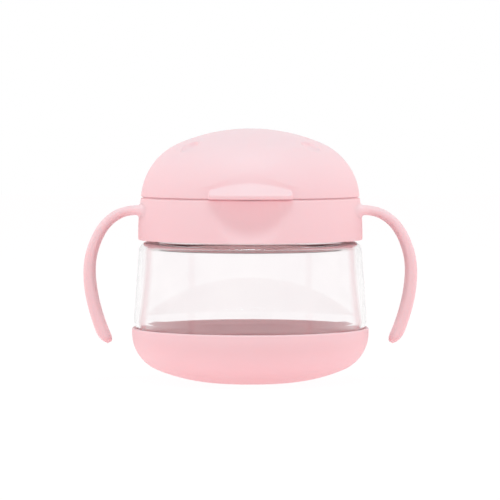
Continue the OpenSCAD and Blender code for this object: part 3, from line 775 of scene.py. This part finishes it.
def lidProfile():
    edgeTurn = 90 - lid["tangent"]  # where the crown's arc meets the haunch's
    nearEdge = 90 - lid["tangent"] * 0.7
    inCrown, inHaunch = lid["crown"] - lid["wall"], lid["haunch"] - lid["wall"]
    crown, middle = (0, lid["crownZ"]), (lid["haunchR"], lid["haunchZ"])
    low, (grooveLip, grooveTop), ridgeTop = lid["low"], lid["groove"], lid["ridgeTop"]
    sealIn, sealOut = lid["sealIn"], lid["sealOut"]
    start, end = lid["grooveEnds"]
    upper = []  # finer rows across the dimples and down the tab
    for centre, radius, fromDeg, toDeg, step in (
            (crown, lid["crown"], 90, nearEdge, 1.6), (crown, lid["crown"], nearEdge, edgeTurn, 0.4),
            (middle, lid["haunch"], edgeTurn, lid["dimplesTo"], 0.4),
            (middle, lid["haunch"], lid["dimplesTo"], lid["tabFrom"], 1.0)):
        upper += arc(centre, radius, fromDeg, toDeg, step)[:-1]
    upper += arc(middle, lid["haunch"], lid["tabFrom"], lid["footFrom"], 0.16)
    foot = rounded([upper[-1], (domeR(low), low, lid["edge"]), (lid["foot"], low)],
                   closed=False, steps=6)[1:]
    wall = [(domeIn(z), z) for z in lid["wallIn"]]
    wallIn = rounded([foot[-1], (domeIn(low), low, 0.25), wall[0]], closed=False)[1:] + wall[1:]
    groove = rounded([(domeIn(start), start), (domeIn(grooveTop), grooveTop, 0.2), (sealOut, grooveTop, 0.2),
                      (sealOut, grooveLip, 0.35), (sealIn, grooveLip, 0.35), (sealIn, ridgeTop, 0.8),
                      (domeIn(ridgeTop), ridgeTop, 0.8), (domeIn(end), end)], closed=False)
    fromRidge = math.degrees(math.asin((lid["innerFrom"] - lid["haunchZ"]) / inHaunch))
    inner = arc(middle, inHaunch, fromRidge, edgeTurn, 1.5)[:-1] + arc(crown, inCrown, edgeTurn, 90, 2.0)
    return upper + foot + wallIn + groove + inner


def makeLid():
    # fine columns for the tab, finer for its ends, and fine again for the dimples
    zones = [(-90, 30, 0.4), (-110, 3.5, 0.15), (-70, 3.5, 0.15), (-39.2, 9, 0.45), (-140.8, 9, 0.45)]
    h = hinge
    axis = (h["y"], h["z"])
    mesh = bmesh.new()
    turned(mesh, lidProfile(), columns(1.8, zones), closed=False, shape=lidShape)
    outline = [(h["earRoot"], h["lidUnder"]), (h["earRoot"], h["z"] + h["knuckle"])]
    outline += arc(axis, h["knuckle"], 90, -172, 0.25) + [(h["lidNose"], h["lidUnder"])]
    plate(mesh, outline, -h["lidHalf"], h["lidHalf"], h["lidEdge"], holes=[axis + (h["pin"] + 0.05,)],
          place=alongX)
    addPiece("domeLid", mesh, hardPink, "lid", ["lid"])


# soft ring that closes on the collar's raised lip, with a shallow channel for it
seal = dict(inner=40.05, outer=42.65, low=80.6, high=82.57, channel=(41.0, 41.4, 41.8), channelDeep=0.35)


def makeLidSeal():
    s = seal
    fromR, middleR, toR = s["channel"]
    profile = rounded([(s["inner"], s["low"], 0.4), (fromR, s["low"], 0.2),
                       (middleR, s["low"] + s["channelDeep"], 0.3), (toR, s["low"], 0.2),
                       (s["outer"], s["low"], 0.4), (s["outer"], s["high"], 0.3),
                       (s["inner"], s["high"], 0.3)], steps=4)
    mesh = bmesh.new()
    turned(mesh, profile, columns(3))
    addPiece("lidSeal", mesh, silicone, "lid", ["lid_seal"])


makeLid()
makeLidSeal()
print("all pieces made")


# plain studio: a light table and white surroundings with one broad lamp high in front
studio = dict(floorShade="#B5AEAE", floorDeep="#AEA8A8", floorFibres=60.0, floorGlow="#FFE0E2",
              floorGlowLight=0.6, floorLeft=0.18, floorWhite=1.06, floorHalf=3.0, surround="#FFFFFF",
              zenith="#FFFFFF", horizon="#FFEAEA", zenithLight=0.18, horizonLight=0.53, sideLight=1.1,
              slantLight=2.0)
topLamp = dict(at=(0.0, -0.35, 1.32), aim=(0, 0, 0.055), wide=0.7, deep=0.28, watts=7.8,
               tone=(0.66, 1.0, 1.0))


# the camera and mirrored rays see the table almost white; to the object it is a grey board with a low glow
def makeFloor():
    material, tree = newMaterial("paintedBoard")
    place = addNode(tree, "ShaderNodeTexCoord").outputs["Object"]
    fibres = addNode(tree, "ShaderNodeTexNoise", sockets={
        "Vector": place, "Scale": studio["floorFibres"], "Detail": 3.0})
    shade = addNode(tree, "ShaderNodeMix", {"data_type": "RGBA"}, {
        0: fibres.outputs["Fac"], 6: linear(studio["floorShade"]), 7: linear(studio["floorDeep"])})
    board = addNode(tree, "ShaderNodeBsdfDiffuse", sockets={"Color": shade.outputs[2]})
    glow = addNode(tree, "ShaderNodeEmission", sockets={
        "Color": linear(studio["floorGlow"]), "Strength": studio["floorGlowLight"]})
    matt = addNode(tree, "ShaderNodeAddShader", sockets={
        0: board.outputs["BSDF"], 1: glow.outputs["Emission"]})
    white = addNode(tree, "ShaderNodeEmission", sockets={
        "Color": linear(studio["surround"]), "Strength": studio["floorWhite"]})
    ray = addNode(tree, "ShaderNodeLightPath")
    seen = addNode(tree, "ShaderNodeMath", {"operation": "MULTIPLY"}, {
        0: ray.outputs["Is Camera Ray"], 1: 1 - studio["floorLeft"]})
    mirrored = addNode(tree, "ShaderNodeMath", {"operation": "MAXIMUM"}, {
        0: ray.outputs["Is Glossy Ray"], 1: ray.outputs["Is Transmission Ray"]})
    share = addNode(tree, "ShaderNodeMath", {"operation": "MAXIMUM"}, {
        0: seen.outputs[0], 1: mirrored.outputs[0]})
    mix = addNode(tree, "ShaderNodeMixShader", sockets={
        0: share.outputs[0], 1: matt.outputs["Shader"], 2: white.outputs["Emission"]})
    addNode(tree, "ShaderNodeOutputMaterial", sockets={"Surface": mix.outputs["Shader"]})
    mesh = bmesh.new()
    bmesh.ops.create_grid(mesh, x_segments=24, y_segments=24, size=studio["floorHalf"])
    data = bpy.data.meshes.new("studioFloor")
    mesh.to_mesh(data)
    mesh.free()
    data.materials.append(material)
    floor = bpy.data.objects.new("studioFloor", data)
    bpy.context.scene.collection.objects.link(floor)


# white to the camera and to mirrored rays; the light on the object comes mostly from both sides and
# from the corners between them and the front and back, and little of it from above
def makeSurround():
    world = bpy.data.worlds.new("studioSurround")
    world.use_nodes = True
    tree = world.node_tree
    tree.nodes.clear()
    ray = addNode(tree, "ShaderNodeLightPath")
    mirrored = addNode(tree, "ShaderNodeMath", {"operation": "MAXIMUM"}, {
        0: ray.outputs["Is Glossy Ray"], 1: ray.outputs["Is Transmission Ray"]})
    seen = addNode(tree, "ShaderNodeMath", {"operation": "MAXIMUM"}, {
        0: ray.outputs["Is Camera Ray"], 1: mirrored.outputs[0]})
    direction = addNode(tree, "ShaderNodeTexCoord").outputs["Generated"]
    way = addNode(tree, "ShaderNodeSeparateXYZ", sockets={"Vector": direction})
    height = addNode(tree, "ShaderNodeMapRange", sockets={
        "Value": way.outputs["Z"], "To Min": studio["horizonLight"], "To Max": studio["zenithLight"]})
    aside = addNode(tree, "ShaderNodeMath", {"operation": "MULTIPLY"}, {
        0: way.outputs["X"], 1: way.outputs["X"]})
    ahead = addNode(tree, "ShaderNodeMath", {"operation": "MULTIPLY"}, {
        0: way.outputs["Y"], 1: way.outputs["Y"]})
    slanting = addNode(tree, "ShaderNodeMath", {"operation": "MULTIPLY_ADD"}, {
        0: ahead.outputs[0], 1: studio["slantLight"], 2: studio["sideLight"]})
    tent = addNode(tree, "ShaderNodeMath", {"operation": "MULTIPLY_ADD"}, {
        0: aside.outputs[0], 1: slanting.outputs[0], 2: height.outputs["Result"]})
    strength = addNode(tree, "ShaderNodeMapRange", sockets={
        "Value": seen.outputs[0], "To Min": tent.outputs[0], "To Max": 1.0})
    tone = addNode(tree, "ShaderNodeMix", {"data_type": "RGBA"}, {
        0: way.outputs["Z"], 6: linear(studio["horizon"]), 7: linear(studio["zenith"])})
    colour = addNode(tree, "ShaderNodeMix", {"data_type": "RGBA"}, {
        0: seen.outputs[0], 6: tone.outputs[2], 7: linear(studio["surround"])})
    light = addNode(tree, "ShaderNodeBackground", sockets={
        "Color": colour.outputs[2], "Strength": strength.outputs["Result"]})
    addNode(tree, "ShaderNodeOutputWorld", sockets={"Surface": light.outputs["Background"]})
    bpy.context.scene.world = world


def addLamp(name, look):
    lamp = bpy.data.lights.new(name, "AREA")
    lamp.shape = "RECTANGLE"
    lamp.size, lamp.size_y = look["wide"], look["deep"]
    lamp.energy = look["watts"]
    lamp.color = look["tone"]
    holder = bpy.data.objects.new(name, lamp)
    holder.location = look["at"]
    holder.rotation_euler = (Vector(look["aim"]) - Vector(look["at"])).to_track_quat("-Z", "Y").to_euler()
    bpy.context.scene.collection.objects.link(holder)


makeFloor()
makeSurround()
addLamp("topLamp", topLamp)

# the camera stands 1.3 m in front and looks down by 2.5 degrees
view = dict(at=(-0.00013, -1.3, 0.113), tilt=0.0443, lens=222.1, sensor=36.0)
camera = bpy.data.cameras.new("viewer")
camera.lens = view["lens"]
camera.sensor_width = view["sensor"]
cameraHolder = bpy.data.objects.new("viewer", camera)
cameraHolder.location = view["at"]
cameraHolder.rotation_euler = (math.pi / 2 - view["tilt"], 0, 0)
bpy.context.scene.collection.objects.link(cameraHolder)
bpy.context.scene.camera = cameraHolder
bpy.context.scene.view_settings.view_transform = "Standard"
print("studio and camera set")
